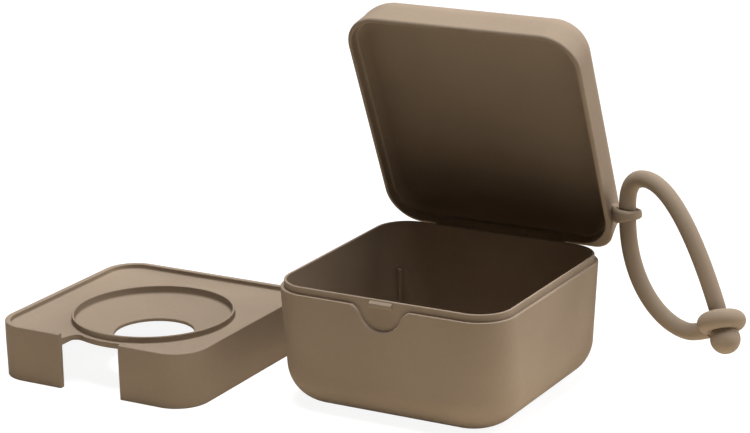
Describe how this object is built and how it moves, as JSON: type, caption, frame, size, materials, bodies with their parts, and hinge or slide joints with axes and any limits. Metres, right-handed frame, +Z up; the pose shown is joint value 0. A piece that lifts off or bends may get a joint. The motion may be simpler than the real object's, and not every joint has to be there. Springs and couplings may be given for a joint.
{
  "type": "pacifier case",
  "caption": "Rounded square case with a hinged lid, a lift-out tray with a round hole, and a carrying strap in an eye on the lid.",
  "frame": {"origin": "middle of the flat face under the base", "axes": "+Z up out of the base, -Y to the front where the thumb notch is, +X to the side of the strap"},
  "size_m": [0.2006, 0.102, 0.1055],
  "materials": {
    "base_plastic": "fine matt moulded",
    "lid_plastic": "fine matt moulded",
    "tray_plastic": "fine matt moulded",
    "strap_silicone": "soft matt silicone",
    "pin_steel": "drawn"
  },
  "bodies": {
    "case": {"base": "base_plastic", "hinge_pin": "pin_steel"},
    "lid": {"lid": "lid_plastic"},
    "strap": {"strap": "strap_silicone"},
    "tray": {"insert_tray": "tray_plastic"}
  },
  "joints": [
    {"name": "lid_hinge", "type": "hinge", "parent": "case", "child": "lid", "pos_m": [0, 0.0376, 0.03405], "axis": [-1, 0, 0], "range_deg": [-66.8, 43.2]},
    {"name": "strap_swing", "type": "hinge", "parent": "lid", "child": "strap", "pos_m": [0.0415, 0.03545, 0.04706], "axis": [0, 0.0785, 0.9969], "range_deg": [-65, 90]},
    {"name": "tray_lift", "type": "slide", "parent": "case", "child": "tray", "axis": [0, 0, 1], "range_m": [0, 0.11]}
  ]
}
